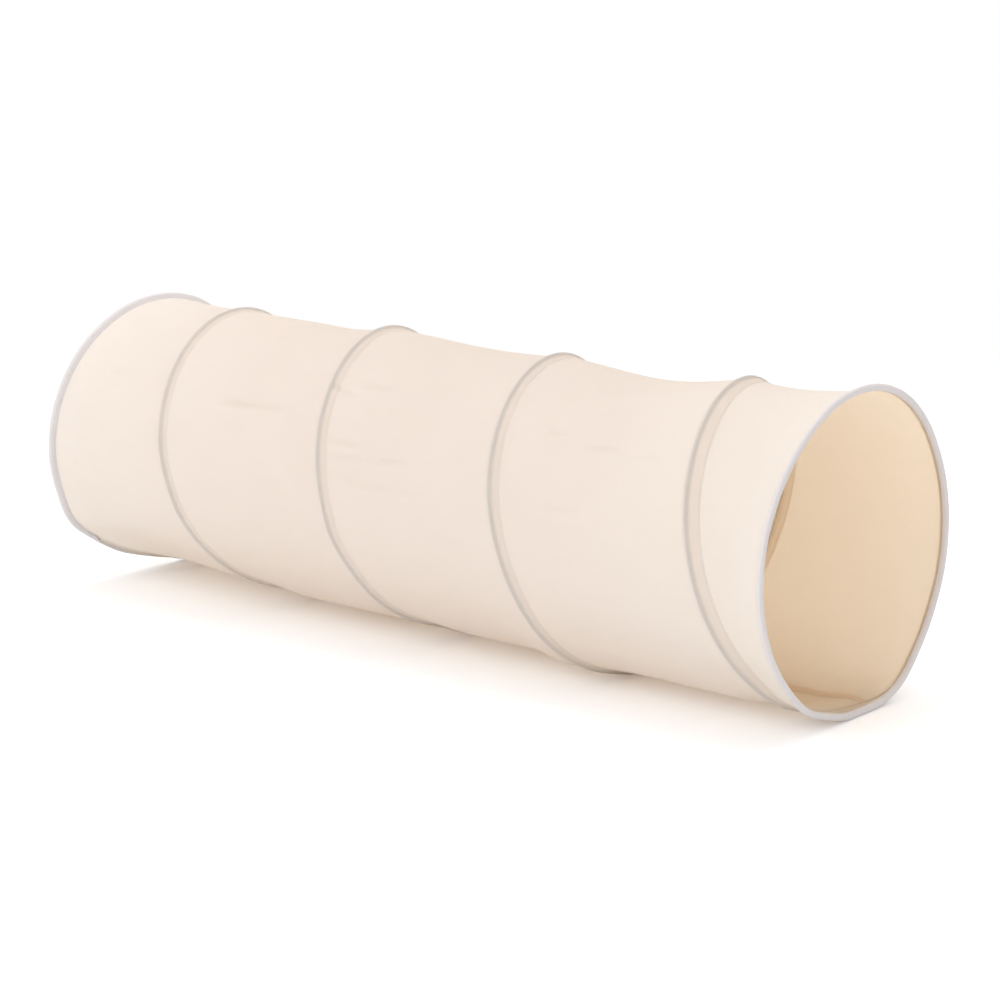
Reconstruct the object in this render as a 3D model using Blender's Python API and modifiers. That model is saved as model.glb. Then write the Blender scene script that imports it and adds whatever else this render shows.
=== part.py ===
"""Pop-up play tunnel for children: one coil of spring wire in sewn casings, with cloth between its turns.

The tunnel lies along X and rests on the floor at Z = 0. An angle along the wire, called phi, is in degrees:
0 at the front (-Y), 90 at the floor, 180 at the back and 270 at the top. The wire winds towards +X as phi
grows: a closed hoop at the far end (-X), then the open turns, then a closed hoop at the near end (+X).
"""
import math

import bmesh
import bpy
import numpy as np
from mathutils import Matrix, Vector

# Driving dimensions, in metres
TUNNEL_LENGTH = 1.412
RIM_RADIUS = 0.240        # outside of the bound rims
RIM_PROUD = 0.0045        # how far the rims stand proud of the ribs
RIM_SINK = 0.0076         # how far the round outline is pressed flat by the floor
WIRE_DIAMETER = 0.003
WIRE_SELF_GAP = 0.0006    # between the wire's end and the hoop that it lies beside
CLOTH_THICKNESS = 0.001
TAPE_THICKNESS = 0.001    # of the bindings, casings and seam tapes
GAP = 0.0003              # between neighbours
CASING_PLAY = 0.0012      # room for the wire to slide in its casing
SEAM_PLAY = 0.0005        # between the cloth and the tape inside its seam

# Sizes of single pieces
BINDING_GRIP = 0.0055     # how far the binding laps over the cloth
CLOTH_TUCK = 0.0006       # from the wire ferrule to the edge of the cloth
CASING_REACH = 0.020      # the casing's sewn flange, past the wire
CASING_LIP = 0.0036       # the casing's folded side, before the wire
CASING_CROWN = 0.0019     # half of the casing's top, over the wire
CASING_FOOT = 0.0055      # where the flange meets the cloth
FLANGE_MARGIN = 0.002     # flat cloth past the edge of a casing or binding
FERRULE_LENGTH = 0.024
FERRULE_WALL = 0.0006
FERRULE_TIP = 0.003       # wire that shows past each end of a ferrule
SEAM_TAPE_WIDTH = 0.014
FAR_REACH = 0.5           # how far the far hoop's own outline spreads along the cloth
NEAR_REACH = 0.20

# Steps around one turn: the wire is coarser than what is sewn to it
WIRE_STEPS = 24
CLOTH_STEPS = 48
WIRE_ANGLE = 360 / WIRE_STEPS
CLOTH_ANGLE = 360 / CLOTH_STEPS

# The open turns begin and end at these angles, where the wire leaves its two closed hoops
COIL_START = -315.0
COIL_END = 1200.0
FIRST_CUT = -255.0        # the lengthwise seam lies on the floor, a little to the back, on each turn
CUTS = [FIRST_CUT + 360 * turn for turn in range(4)]

# Shares of the rim radius, from the front round the floor, the back and the top, one each wire step
FAR_HOOP_SHARES = [
    1.028, 1.012, 1.004, 0.939, 0.904, 0.890, 0.913, 1.005, 1.020, 1.010, 1.000, 0.995,
    1.000, 0.994, 0.995, 1.000, 1.012, 1.006, 0.997, 0.992, 0.993, 1.003, 1.015, 1.026,
]
NEAR_HOOP_SHARES = [
    0.975, 0.967, 0.954, 0.946, 0.957, 0.950, 0.972, 1.003, 1.038, 1.021, 1.014, 1.020,
    1.018, 1.016, 1.011, 1.017, 1.015, 1.006, 0.990, 0.978, 0.964, 0.962, 0.968, 0.977,
]
# How far the wire strays from an even coil, as shares of its pitch, at places in turns from the front
STRAY_TURNS = [COIL_START / 360, -0.04, 0.03, 0.10, 0.92, 1.02, 1.09, 1.94, 2.08, 2.92, 3.09, COIL_END / 360]
STRAY_SHARES = [0.0, -0.090, -0.070, -0.018, -0.060, -0.045, 0.0, -0.036, -0.008, -0.002, 0.025, 0.0]
# How far the top of the tunnel sags, as shares of the rim radius, at shares of the length from the far end
SAG_PLACE_SHARES = [0.0, 0.137, 0.379, 0.617, 0.860, 1.0]
SAG_SHARES = [0.0, 0.017, 0.004, 0.040, 0.029, 0.0]
# How far the low front is pressed in, as shares of the rim radius, at shares of the length from the far end
PRESS_PLACE_SHARES = [0.02, 0.12, 0.25, 0.34, 0.54, 0.655, 0.692, 0.706, 0.80, 0.86, 0.92, 0.975]
PRESS_SHARES = [0.0, 0.053, 0.059, 0.066, 0.066, 0.064, 0.0075, 0.0075, 0.055, 0.048, 0.026, 0.0]
# How much of that there is from the front round the floor, the back and the top; below 0 it stands out
PRESS_HOOP_SHARES = [
    0.00, 0.00, 0.08, 0.40, 0.82, 1.00, 0.20, -0.20, 0.00, 0.00, 0.00, 0.00,
    0.00, 0.00, 0.00, 0.00, 0.00, 0.00, 0.00, 0.00, 0.00, 0.00, 0.00, 0.00,
]
# How deep the cloth is drawn in between two turns, as shares of the rim radius, by turn
WAIST_TURNS = [-1.4, -0.25, 0.75, 1.75, 2.75, 3.2]
WAIST_SHARES = [0.0, 0.026, 0.026, 0.060, 0.024, 0.012]
# Columns across the cloth between its two flat edges, and how much of the waist each has
WAIST_COLUMN_SHARES = [0.25, 0.52, 0.86]
WAIST_DEPTH_SHARES = [0.55, 1.0, 0.75]
SIDE_WAIST_SHARE = 0.45   # of the waist that the sides have, against the top
# The binding's outer edge lies flat between these shares of its width from the rim's face
BINDING_EDGE_SHARES = [1.0, 0.84]
# Its fold, round to the inner edge: shares of its width from the rim's face and of its height from inside
BINDING_WIDTH_SHARES = [0.60, 0.33, 0.07, 0.03, 0.05, 0.20, 1.0]
BINDING_HEIGHT_SHARES = [0.84, 1.0, 0.76, 0.48, 0.20, 0.0, 0.0]

# Worked out from the sizes above
AXIS_HEIGHT = RIM_RADIUS - RIM_SINK
RIB_RADIUS = RIM_RADIUS - RIM_PROUD
WIRE_RADIUS = WIRE_DIAMETER / 2
COIL_RADIUS = RIB_RADIUS - TAPE_THICKNESS - GAP - WIRE_RADIUS
COIL_INSIDE = COIL_RADIUS * math.cos(math.pi / WIRE_STEPS) - WIRE_RADIUS
CLOTH_RADIUS = COIL_INSIDE - GAP - CASING_PLAY - CLOTH_THICKNESS / 2
WIRE_PAIR_PITCH = WIRE_DIAMETER + WIRE_SELF_GAP
FERRULE_RADIUS = WIRE_RADIUS + GAP + FERRULE_WALL
WIRE_INSET = TAPE_THICKNESS + GAP + FERRULE_RADIUS + WIRE_PAIR_PITCH
CLOTH_INSET = WIRE_INSET + FERRULE_RADIUS + CLOTH_TUCK
BINDING_WIDTH = CLOTH_INSET + BINDING_GRIP
BINDING_TOP = RIM_RADIUS - TAPE_THICKNESS / 2
BINDING_BASE = CLOTH_RADIUS - CLOTH_THICKNESS / 2 - GAP - TAPE_THICKNESS / 2
BINDING_TIP = CLOTH_RADIUS + CLOTH_THICKNESS / 2 + GAP + TAPE_THICKNESS / 2
BINDING_LIFTED_TIP = COIL_RADIUS + WIRE_RADIUS + GAP + TAPE_THICKNESS / 2
FAR_FACE = -TUNNEL_LENGTH / 2
NEAR_FACE = TUNNEL_LENGTH / 2
COIL_SPAN = TUNNEL_LENGTH - 2 * WIRE_INSET
PITCH = COIL_SPAN * 360 / (COIL_END - COIL_START)
SHALLOW_WIDTH = 2 * (CASING_REACH + FLANGE_MARGIN)
MERGE_DISTANCE = GAP / 10

MATERIALS = {
    "cream_cloth": ((0.86, 0.80, 0.72), 0.85, 0.0),
    "cream_casing": ((0.80, 0.73, 0.66), 0.85, 0.0),
    "lilac_binding": ((0.68, 0.63, 0.64), 0.8, 0.0),
    "spring_steel": ((0.45, 0.45, 0.46), 0.35, 1.0),
    "ferrule_steel": ((0.60, 0.60, 0.62), 0.3, 1.0),
}


def ease(share):
    """A smooth step from 0 to 1."""
    share = min(max(share, 0.0), 1.0)
    return share * share * (3 - 2 * share)


def between(spot, spots, values):
    """The value at a spot, eased between the listed ones."""
    if spot <= spots[0]:
        return values[0]
    for low, high, first, second in zip(spots, spots[1:], values, values[1:]):
        if spot <= high:
            return first + (second - first) * ease((spot - low) / (high - low))
    return values[-1]


def hoop_share(shares, phi):
    """A hoop's outline at phi, in straight stretches between the wire's points."""
    step, rest = divmod((phi % 360) / WIRE_ANGLE, 1)
    first = shares[int(step) % WIRE_STEPS]
    second = shares[(int(step) + 1) % WIRE_STEPS]
    return first + (second - first) * rest


def outline_share(x, phi):
    """How far the outline at x and phi stands from a circle, as the two hoops and the tunnel's weight leave it."""
    far = 1 - ease((x - FAR_FACE - BINDING_WIDTH) / FAR_REACH)
    near = 1 - ease((NEAR_FACE - BINDING_WIDTH - x) / NEAR_REACH)
    hoops = far * (hoop_share(FAR_HOOP_SHARES, phi) - 1) + near * (hoop_share(NEAR_HOOP_SHARES, phi) - 1)
    press = between((x - FAR_FACE) / TUNNEL_LENGTH, PRESS_PLACE_SHARES, PRESS_SHARES)
    return 1 + hoops - press * hoop_share(PRESS_HOOP_SHARES, phi)


def rim_nearness(x):
    """1 at the bound rims and 0 along the ribs."""
    reach = min(x - FAR_FACE, NEAR_FACE - x)
    return 1 - ease((reach - BINDING_WIDTH) / (3 * BINDING_WIDTH))


def place(x, phi, radius):
    """The point of a layer of the given radius at x and phi, pressed flat where it meets the floor."""
    angle = math.radians(phi)
    stretched = radius * outline_share(x, phi)
    sag = RIM_RADIUS * between((x - FAR_FACE) / TUNNEL_LENGTH, SAG_PLACE_SHARES, SAG_SHARES)
    height = AXIS_HEIGHT - stretched * math.sin(angle) - sag * max(0.0, -math.sin(angle)) ** 2
    floor = RIB_RADIUS - radius + RIM_PROUD * rim_nearness(x)
    return Vector((x, -stretched * math.cos(angle), max(height, floor)))


def coil_x(phi):
    """Where along the tunnel the open wire is at phi, in straight stretches between its points."""
    step, rest = divmod(phi / WIRE_ANGLE, 1)
    even = FAR_FACE + WIRE_INSET + PITCH * (phi - COIL_START) / 360
    first, second = (between((step + more) / WIRE_STEPS, STRAY_TURNS, STRAY_SHARES) for more in (0, 1))
    return even + PITCH * (first + (second - first) * rest)


def strip_edges(phi):
    """The two edges of the cloth strip that lies between the wire at phi and its next turn."""
    low = FAR_FACE + CLOTH_INSET
    high = NEAR_FACE - CLOTH_INSET
    if phi >= COIL_START:
        low = max(low, coil_x(phi) + GAP / 2)
    if phi + 360 <= COIL_END:
        high = min(high, coil_x(phi + 360) - GAP / 2)
    return low, high


def strip_columns(phi):
    """Places across the cloth strip at phi, each with its shares of the waist and of the sag."""
    low, high = strip_edges(phi)
    width = high - low
    lead = min(CASING_REACH + FLANGE_MARGIN, width / 3)
    lip = min(BINDING_GRIP + FLANGE_MARGIN, width / 4)
    inner = width - lead - lip
    fullness = ease((width - SHALLOW_WIDTH) / (PITCH / 2))
    columns = [(low, 0.0, 0.0), (low + lead, 0.0, 0.0)]
    for across, depth in zip(WAIST_COLUMN_SHARES, WAIST_DEPTH_SHARES):
        columns.append((low + lead + inner * across, depth * fullness, fullness))
    return columns + [(high - lip, 0.0, 0.0), (high, 0.0, 0.0)]


def cloth_radius(phi, waist, rest):
    """Radius of the cloth's middle layer, drawn in at the top and sides and lying on the floor below."""
    angle = math.radians(phi)
    drawn = RIM_RADIUS * between(phi / 360, WAIST_TURNS, WAIST_SHARES)
    drawn *= SIDE_WAIST_SHARE + (1 - SIDE_WAIST_SHARE) * max(0.0, -math.sin(angle))
    sagging = RIB_RADIUS - CLOTH_THICKNESS / 2 - CLOTH_RADIUS
    low = ease(2 * math.sin(angle) - 1)
    return CLOTH_RADIUS - (1 - low) * waist * drawn + low * rest * sagging


def row_angles(start, end):
    """Angles of the rows from start to end, held back from both so that neighbours keep their gap."""
    held = math.degrees(GAP / 2 / CLOTH_RADIUS)
    steps = round((end - start) / CLOTH_ANGLE)
    inner = [start + CLOTH_ANGLE * step for step in range(1, steps)]
    return [start + held] + inner + [end - held]


def make_material(name):
    colour, roughness, metallic = MATERIALS[name]
    material = bpy.data.materials.new(name)
    material.use_nodes = True
    shader = material.node_tree.nodes["Principled BSDF"]
    shader.inputs["Base Color"].default_value = (*colour, 1.0)
    shader.inputs["Roughness"].default_value = roughness
    shader.inputs["Metallic"].default_value = metallic
    return material


def finish(piece, material):
    """Put a piece in the tunnel's collection with its material."""
    piece.data.materials.append(material)
    bpy.data.collections["play_tunnel"].objects.link(piece)
    return piece


def sheet(name, rows, material, thickness, closed=False):
    """A sheet through rows of points, thickened on both sides. A closed one ends on its first row."""
    tall = len(rows) - 1
    wide = len(rows[0]) - 1
    bm = bmesh.new()
    bmesh.ops.create_grid(bm, x_segments=wide, y_segments=tall, size=1)
    for vertex in bm.verts:
        column = round((vertex.co.x + 1) / 2 * wide)
        row = round((vertex.co.y + 1) / 2 * tall)
        vertex.co = rows[row][column]
    if closed:
        bmesh.ops.remove_doubles(bm, verts=bm.verts, dist=MERGE_DISTANCE)
    bmesh.ops.recalc_face_normals(bm, faces=bm.faces)
    mesh = bpy.data.meshes.new(name)
    bm.to_mesh(mesh)
    bm.free()
    mesh.shade_smooth()
    piece = finish(bpy.data.objects.new(name, mesh), material)
    solid = piece.modifiers.new("thickness", "SOLIDIFY")
    solid.thickness = thickness
    solid.offset = 0
    solid.use_even_offset = True
    return piece


def make_cloth(name, start, end, material):
    """The cloth strip beside the wire from one angle to another."""
    rows = []
    for phi in row_angles(start, end):
        rows.append([place(x, phi, cloth_radius(phi, *shares)) for x, *shares in strip_columns(phi)])
    return sheet(name, rows, material, CLOTH_THICKNESS)


def make_seam_tape(name, phi, material):
    """The tape inside the tunnel that closes the lengthwise seam of one strip."""
    inside = CLOTH_THICKNESS / 2 + GAP + SEAM_PLAY + TAPE_THICKNESS / 2
    low_end = FAR_FACE + BINDING_WIDTH + GAP
    high_end = NEAR_FACE - BINDING_WIDTH - GAP
    cloth_rows = []
    for row_phi in (phi - CLOTH_ANGLE, phi, phi + CLOTH_ANGLE):
        row = []
        for x, *shares in strip_columns(row_phi):
            x = min(max(x, low_end), high_end)
            row.append(place(x, row_phi, cloth_radius(row_phi, *shares) - inside))
        cloth_rows.append(row)
    before, middle, after = cloth_rows
    share = SEAM_TAPE_WIDTH / 2 / (CLOTH_RADIUS * math.radians(CLOTH_ANGLE))
    rows = [
        [point.lerp(beside, share) for point, beside in zip(middle, before)],
        middle,
        [point.lerp(beside, share) for point, beside in zip(middle, after)],
    ]
    return sheet(name, rows, material, TAPE_THICKNESS)


def make_casing(name, start, end, material):
    """The casing over the wire: a fold on one side of it and a sewn flange on the other."""
    over_wire = RIB_RADIUS - TAPE_THICKNESS / 2
    on_cloth = CLOTH_RADIUS + CLOTH_THICKNESS / 2 + GAP + TAPE_THICKNESS / 2
    rows = []
    for phi in row_angles(start, end):
        wire = coil_x(phi)
        reach = min(CASING_REACH, NEAR_FACE - BINDING_WIDTH - GAP - wire)
        section = [
            (-CASING_LIP, on_cloth),
            (-CASING_CROWN, over_wire),
            (CASING_CROWN, over_wire),
            (CASING_FOOT, on_cloth),
            (reach, on_cloth),
        ]
        rows.append([place(wire + across, phi, radius) for across, radius in section])
    return sheet(name, rows, material, TAPE_THICKNESS)


def make_binding(name, face, inward, coil_angle, material):
    """A folded binding round an end hoop, whose outer leg lifts where the wire leaves it."""
    height = BINDING_TOP - BINDING_BASE
    rows = []
    for step in range(CLOTH_STEPS + 1):
        phi = CLOTH_ANGLE * step
        past = (phi - coil_angle + 180) % 360 - 180
        lifted = -WIRE_ANGLE < past * inward < WIRE_ANGLE + CLOTH_ANGLE
        tip = BINDING_LIFTED_TIP if lifted else BINDING_TIP
        section = [(across, tip) for across in BINDING_EDGE_SHARES]
        for across, up in zip(BINDING_WIDTH_SHARES, BINDING_HEIGHT_SHARES):
            section.append((across, BINDING_BASE + height * up))
        width = inward * BINDING_WIDTH
        rows.append([place(face + width * across, phi, radius) for across, radius in section])
    return sheet(name, rows, material, TAPE_THICKNESS, closed=True)


def wire_point(phi):
    """A point of the wire: on the far hoop before the coil starts, on the near hoop after it ends."""
    if phi < COIL_START:
        x = FAR_FACE + WIRE_INSET - WIRE_PAIR_PITCH * (COIL_START - phi) / 360
    elif phi > COIL_END:
        x = NEAR_FACE - WIRE_INSET + WIRE_PAIR_PITCH * (phi - COIL_END) / 360
    else:
        x = coil_x(phi)
    return place(x, phi, COIL_RADIUS)


def wire_points():
    """The whole wire: a closed hoop, the open turns and a closed hoop, with straight overlapping ends."""
    overlap = FERRULE_LENGTH + 2 * FERRULE_TIP
    first = COIL_START - 360
    last = COIL_END + 360
    steps = round((last - first) / WIRE_ANGLE)
    points = [wire_point(first + WIRE_ANGLE * step) for step in range(steps + 1)]
    before = wire_point(first - WIRE_ANGLE) - points[0]
    after = wire_point(last + WIRE_ANGLE) - points[-1]
    start = points[0] + before.normalized() * overlap
    end = points[-1] + after.normalized() * overlap
    return [start] + points + [end]


def least_self_gap(points):
    """The smallest clear gap between stretches of the wire that don't follow one another."""
    samples_each = 10
    spots = []
    for first, second in zip(points, points[1:]):
        for sample in range(samples_each):
            spots.append(first.lerp(second, sample / samples_each))
    spots = np.array(spots + [points[-1]])
    apart = 2 * samples_each
    least = math.inf
    for index in range(len(spots) - apart):
        rest = spots[index + apart:]
        least = min(least, float(np.sqrt(((rest - spots[index]) ** 2).sum(axis=1)).min()))
    return least - WIRE_DIAMETER


def make_wire(name, points, material):
    curve = bpy.data.curves.new(name, "CURVE")
    curve.dimensions = "3D"
    spline = curve.splines.new("POLY")
    spline.points.add(len(points) - 1)
    for spot, point in zip(spline.points, points):
        spot.co = (*point, 1.0)
    curve.bevel_depth = WIRE_RADIUS
    curve.bevel_resolution = 1
    curve.use_fill_caps = True
    return finish(bpy.data.objects.new(name, curve), material)


def add_round_slot(curve, radius):
    """The outline round two wires side by side: two half circles joined by straight sides."""
    arc_steps = 8
    outline = []
    for side in (1, -1):
        for step in range(arc_steps + 1):
            angle = math.pi * (step / arc_steps - 1 / 2)
            across = side * (WIRE_PAIR_PITCH / 2 + radius * math.cos(angle))
            outline.append((across, side * radius * math.sin(angle)))
    spline = curve.splines.new("POLY")
    spline.points.add(len(outline) - 1)
    for spot, (across, up) in zip(spline.points, outline):
        spot.co = (across, up, 0.0, 1.0)
    spline.use_cyclic_u = True


def make_ferrule(name, joined, free, material):
    """A crimped sleeve round the wire's end and the hoop beside it: joined is where the two part."""
    along = (free - joined).normalized()
    curve = bpy.data.curves.new(name, "CURVE")
    curve.dimensions = "2D"
    curve.fill_mode = "BOTH"
    curve.extrude = FERRULE_LENGTH / 2
    add_round_slot(curve, FERRULE_RADIUS)
    add_round_slot(curve, WIRE_RADIUS + GAP)
    piece = finish(bpy.data.objects.new(name, curve), material)
    out = along.cross(Vector((1.0, 0.0, 0.0))).normalized()
    across = out.cross(along)
    turn = Matrix((across, out, along)).transposed()
    middle = joined + along * (FERRULE_TIP + FERRULE_LENGTH / 2)
    piece.matrix_world = Matrix.Translation(middle) @ turn.to_4x4()
    return piece


def clear_scene():
    for piece in list(bpy.data.objects):
        bpy.data.objects.remove(piece)
    collection = bpy.data.collections.new("play_tunnel")
    bpy.context.scene.collection.children.link(collection)


def main():
    clear_scene()
    cloth = make_material("cream_cloth")
    casing = make_material("cream_casing")
    binding = make_material("lilac_binding")
    steel = make_material("spring_steel")
    crimp = make_material("ferrule_steel")

    points = wire_points()
    make_wire("spring_wire", points, steel)
    print(f"least gap of the wire to itself: {least_self_gap(points) * 1000:.2f} mm")
    half_pair = Vector((WIRE_PAIR_PITCH / 2, 0.0, 0.0))
    make_ferrule("far_wire_ferrule", points[1] + half_pair, points[0] + half_pair, crimp)
    make_ferrule("near_wire_ferrule", points[-2] - half_pair, points[-1] - half_pair, crimp)

    make_binding("far_rim_binding", FAR_FACE, 1, COIL_START, binding)
    make_binding("near_rim_binding", NEAR_FACE, -1, COIL_END, binding)

    first_cloth = COIL_START - 360 + WIRE_ANGLE
    last_cloth = COIL_END - WIRE_ANGLE
    make_cloth("cloth_far_gore", first_cloth, CUTS[0], cloth)
    for turn, start in enumerate(CUTS[:-1], 1):
        make_cloth(f"cloth_turn_{turn}", start, start + 360, cloth)
    make_cloth("cloth_near_gore", CUTS[-1], last_cloth, cloth)
    for turn, phi in enumerate(CUTS, 1):
        make_seam_tape(f"seam_tape_{turn}", phi, casing)

    casing_ends = [COIL_START + WIRE_ANGLE] + CUTS[1:] + [COIL_END - WIRE_ANGLE - CLOTH_ANGLE]
    for turn, (start, end) in enumerate(zip(casing_ends, casing_ends[1:]), 1):
        make_casing(f"casing_turn_{turn}", start, end, casing)


main()
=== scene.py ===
import math

import bmesh
import bpy
import numpy as np
from mathutils import Matrix, Vector


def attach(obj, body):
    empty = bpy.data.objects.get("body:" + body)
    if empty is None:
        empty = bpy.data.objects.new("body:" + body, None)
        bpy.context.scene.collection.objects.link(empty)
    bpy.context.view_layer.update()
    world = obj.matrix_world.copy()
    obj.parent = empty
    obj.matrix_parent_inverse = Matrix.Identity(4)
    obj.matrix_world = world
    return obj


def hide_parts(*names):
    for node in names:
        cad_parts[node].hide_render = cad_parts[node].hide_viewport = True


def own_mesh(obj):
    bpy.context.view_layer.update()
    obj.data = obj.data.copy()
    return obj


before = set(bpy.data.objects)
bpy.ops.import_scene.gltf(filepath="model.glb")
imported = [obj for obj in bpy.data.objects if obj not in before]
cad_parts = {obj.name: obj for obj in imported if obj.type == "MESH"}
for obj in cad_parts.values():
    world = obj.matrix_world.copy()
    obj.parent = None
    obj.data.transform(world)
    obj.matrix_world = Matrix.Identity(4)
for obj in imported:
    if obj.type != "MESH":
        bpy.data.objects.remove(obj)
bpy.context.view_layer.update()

# The tunnel's own sizes, in metres. An angle along the wire, called phi, is in degrees: 0 at the front (-Y),
# 90 at the floor, 180 at the back and 270 at the top, and it grows by 360 a turn towards the near end (+X).
TUNNEL_LENGTH = 1.412
FAR_FACE = -TUNNEL_LENGTH / 2
NEAR_FACE = TUNNEL_LENGTH / 2
RIM_RADIUS = 0.240
RIM_WIDTH = 0.0158  # how far from its face a rim keeps its full outline
RIM_PROUD = 0.0045  # how far the rims stand out from the ribs
RIM_PROUD_REACH = 3 * RIM_WIDTH
RIM_SINK = 0.0076  # how far the rims' middle lies lower than their radius
RIB_RADIUS = RIM_RADIUS - RIM_PROUD
AXIS_HEIGHT = RIM_RADIUS - RIM_SINK
FLOOR_SOFTNESS = 0.0005  # how gently a layer bends onto the floor
FAR_REACH = 0.5  # along the tunnel, where the far rim's own outline fades
NEAR_REACH = 0.20
FLARE = 0.0031  # how far the wire and cloth spread at the rims, to fill the slim binding
FLARE_REACH = 0.040

# The wire's coil, from the hoop in one rim to the hoop in the other
WIRE_RADIUS = 0.0015
WIRE_INSET = 0.0073  # from a rim's face to its hoop
WIRE_PAIR_PITCH = 0.0036  # from a hoop to the wire's end beside it
WIRE_STEPS = 24
WIRE_ANGLE = 360 / WIRE_STEPS
WIRE_ROWS_PER_TURN = 192
WIRE_SIDES = 10
COIL_RADIUS = 0.2327
COIL_START = -315.0
COIL_END = 1200.0
PITCH = (TUNNEL_LENGTH - 2 * WIRE_INSET) * 360 / (COIL_END - COIL_START)
# How far the coil strays from its even pitch, as shares of it, by turns
STRAY_TURNS = [COIL_START / 360, -0.04, 0.03, 0.10, 0.92, 1.02, 1.09, 1.94, 2.08, 2.92, 3.09, COIL_END / 360]
STRAY_SHARES = [0.0, -0.090, -0.070, -0.018, -0.060, -0.045, 0.0, -0.036, -0.008, -0.002, 0.025, 0.0]

# The rims' outlines as shares of their radius, from the front round the floor, the back and the top, one each
# WIRE_ANGLE
FAR_HOOP_SHARES = [
    1.028, 1.012, 1.004, 0.939, 0.904, 0.890, 0.913, 1.005, 1.020, 1.010, 1.000, 0.995,
    1.000, 0.994, 0.995, 1.000, 1.012, 1.006, 0.997, 0.992, 0.993, 1.003, 1.015, 1.026,
]
NEAR_HOOP_SHARES = [
    0.975, 0.967, 0.954, 0.946, 0.957, 0.950, 0.972, 1.003, 1.038, 1.021, 1.014, 1.020,
    1.018, 1.016, 1.011, 1.017, 1.015, 1.006, 0.990, 0.978, 0.964, 0.962, 0.968, 0.977,
]
# How far the top sags: by place along the tunnel, as shares of the rim radius
SAG_PLACE_SHARES = [0.0, 0.137, 0.379, 0.617, 0.860, 1.0]
SAG_SHARES = [0.0, 0.017, 0.004, 0.040, 0.029, 0.0]
# How far the low front is pressed in: by place along the tunnel, and round it as for the hoops
PRESS_PLACE_SHARES = [0.02, 0.12, 0.25, 0.34, 0.54, 0.655, 0.692, 0.706, 0.80, 0.86, 0.92, 0.975]
PRESS_SHARES = [0.0, 0.053, 0.059, 0.066, 0.066, 0.064, 0.0075, 0.0075, 0.055, 0.048, 0.026, 0.0]
PRESS_HOOP_SHARES = [0.0, 0.0, 0.08, 0.40, 0.82, 1.0, 0.20, -0.20] + [0.0] * 16

# The camera, found by fitting both rims of the photograph
CAMERA_PLACE = (2.5740, -2.9536, 1.0859)
CAMERA_YAW = math.radians(-40.387)
CAMERA_PITCH = math.radians(12.559)
CAMERA_ROLL = math.radians(-0.193)
FOCAL_PIXELS = 2597.3
PICTURE_SIZE = 1000
SENSOR_WIDTH = 36.0

# The cloth: one strip for each turn, between two turns of the wire, cut at the lengthwise seam
CLOTH_RADIUS = 0.22781
CLOTH_THICKNESS = 0.0006
CLOTH_INSET = 0.0045  # from a rim's face to the cloth's edge, which passes inside the hoop
CLOTH_TUCK = 4.0  # degrees from the hoops to the ends of the strips
CLOTH_ROWS_PER_TURN = 400
GAP = 0.0003  # between two strips
CUTS = [-255.0, 105.0, 465.0, 825.0]
STRIPS = [
    ("cloth_far_gore", "far_end", COIL_START - 360 + CLOTH_TUCK, CUTS[0]),
    ("cloth_turn_1", "turn_1", CUTS[0], CUTS[1]),
    ("cloth_turn_2", "turn_2", CUTS[1], CUTS[2]),
    ("cloth_turn_3", "turn_3", CUTS[2], CUTS[3]),
    ("cloth_near_gore", "near_end", CUTS[3], COIL_END - CLOTH_TUCK),
]
EDGE_BAND = 0.022  # of a strip, where its columns lie close together
LOW_COLUMNS, MIDDLE_COLUMNS, HIGH_COLUMNS = 11, 51, 9
TENT = 0.0028  # how far the cloth is held up where it passes under the wire
TENT_REACH = 0.020
SHALLOW_WIDTH = 0.044  # a strip no wider than this isn't drawn in
# How deep the cloth is drawn in between two turns, and where across the strip it is deepest
WAIST_TURNS = [-1.4, -0.25, 0.75, 1.75, 2.75, 3.2]
WAIST_SHARES = [0.0, 0.026, 0.026, 0.060, 0.024, 0.012]
WAIST_PEAKS = [0.5, 0.72, 0.52, 0.57, 0.5, 0.5]
SIDE_WAIST_SHARE = 0.45  # of the depth on top
WAIST_POWER = 1.25
TENT_POWER = 1.5
REST_EDGE_SHARES = (0.3, 0.25)  # of a strip's width, in which it comes down to the floor
UV_SPAN = 2.0  # metres of cloth that the whole width of the map stands for
UV_MARGIN = 0.004  # share of the map between two parts of it

# The cloth's unevenness. A pair is for a strip's far and near seam; a swell is its size round the tunnel, its
# size along it, and its seed
GATHER_HEIGHTS = (0.00050, 0.00055)
GATHER_RISES = (0.018, 0.006)  # from the seams to where the gathers are full
GATHER_HOLD = 0.020  # from the far seam to where they start to fade
GATHER_FADES = (0.020, 0.018)
GATHER_SWELL = (0.0125, 0.060, 11)
FINE_GATHER_SWELL = (0.007, 0.035, 12)
FINE_GATHER_SHARE = 0.6
MIDDLE_EDGES = (0.045, 0.035)  # from the seams to where folds, ripples and billows are full
FOLD_DEPTH = 0.0016
FOLD_SWELL = (0.030, 0.150, 21)
FOLD_SLANT = 0.18
FOLD_THRESHOLD = 0.35
FOLD_POWER = 1.3
RIPPLE_HEIGHT = 0.00035
RIPPLE_SWELL = (0.014, 0.075, 22)
RIPPLE_SLANT = 0.25
BILLOW_HEIGHT = 0.0011
BILLOW_SWELL = (0.11, 0.13, 23)
FLOOR_FLATTENING = 0.6  # what the floor takes off the unevenness
RIM_FLATTENING_REACH = 0.012
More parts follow.
